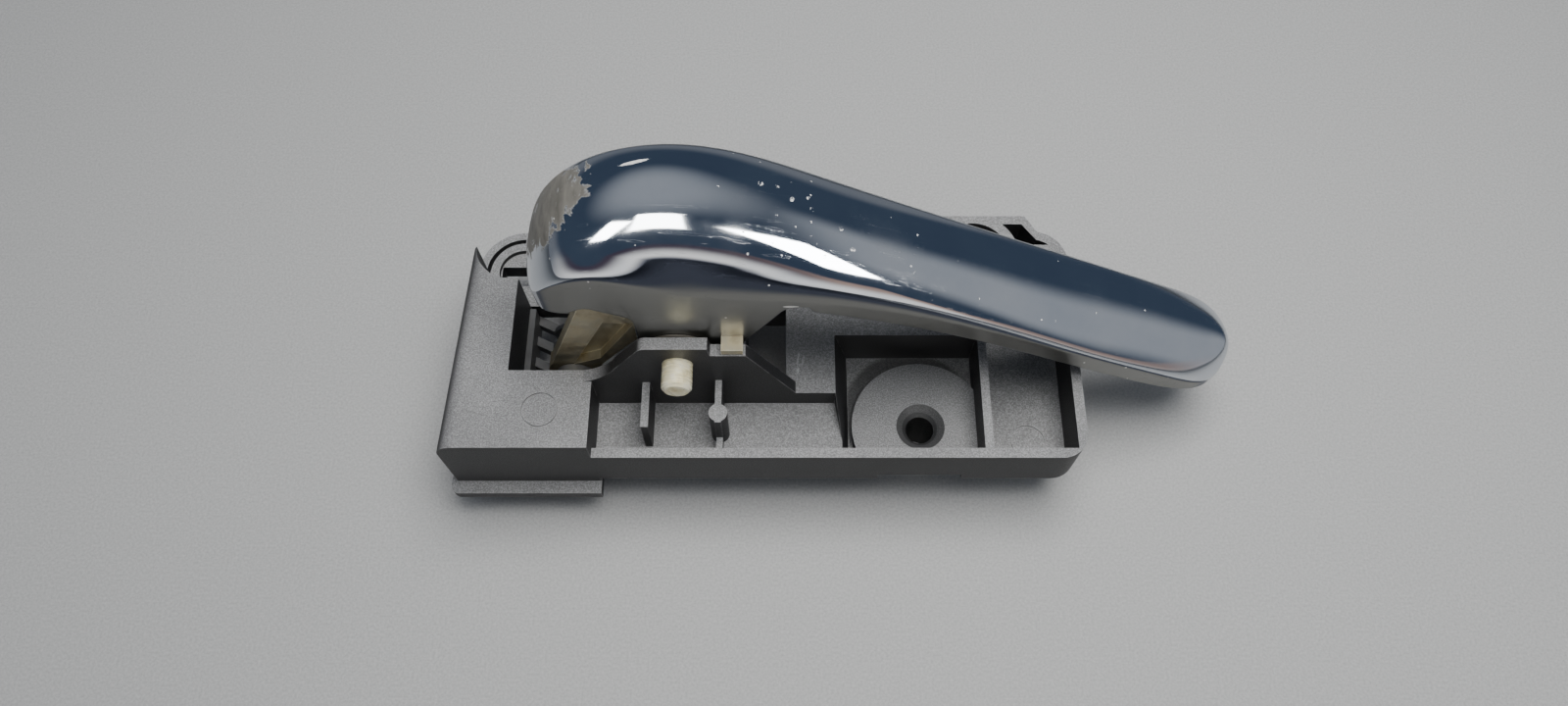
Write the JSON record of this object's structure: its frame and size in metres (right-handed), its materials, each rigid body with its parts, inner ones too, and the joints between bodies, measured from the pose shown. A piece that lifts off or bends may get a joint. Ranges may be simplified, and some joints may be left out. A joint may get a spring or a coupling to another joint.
{
  "type": "interior car door handle",
  "caption": "Interior car door release handle: tapered chrome pull lever on a steel pivot pin in a black moulded base, with a sprung steel crank arm for the latch rod.",
  "frame": {"origin": "axis of the front fixing screw hole, at the plane of the seats that bear on the door panel", "axes": "+X along the grip from its head to its tip, +Z out of the door panel, -Y towards the pivot pin's free end"},
  "size_m": [0.1512, 0.0543, 0.0714],
  "materials": {
    "base_plastic": "black glass-filled moulding, fine spark-eroded grain",
    "grey_plastic": "dark grey moulding",
    "zinc_steel": "yellow passivated zinc plate, worn on the edges",
    "spring_steel": "oiled spring steel",
    "black_steel": "black phosphated steel",
    "rubber": "matt",
    "chrome": "bright chrome plate with light scratches and a worn patch on the head",
    "backing_plastic": "fine grain",
    "nylon": "dark brown acetal"
  },
  "bodies": {
    "base": {"base_housing": "base_plastic", "front_screw_seat": "base_plastic", "rear_screw_seat": "base_plastic", "rod_guide": "grey_plastic", "pivot_pin": "zinc_steel", "pin_retainer": "spring_steel", "return_spring": "spring_steel", "rest_bumper": "rubber", "open_bumper": "rubber"},
    "lever": {"handle_shell": "chrome", "handle_backing": "backing_plastic", "backing_screws": "black_steel", "front_bush": "nylon", "rear_bush": "nylon", "crank_arm": "zinc_steel", "crank_screws": "black_steel"},
    "clip": {"rod_clip": "grey_plastic"}
  },
  "joints": [
    {"name": "lever_pivot", "type": "hinge", "parent": "base", "child": "lever", "pos_m": [-0.0454, 0, 0.0366], "axis": [0, -1, 0], "range_deg": [0, 38], "stiffness_Nm_per_rad": 0.25, "springref_deg": -34.38, "deforming": ["return_spring"]},
    {"name": "clip_swivel", "type": "hinge", "parent": "lever", "child": "clip", "pos_m": [-0.0664, 0, 0.0216], "axis": [0, -1, 0], "range_deg": [-25, 25]}
  ]
}
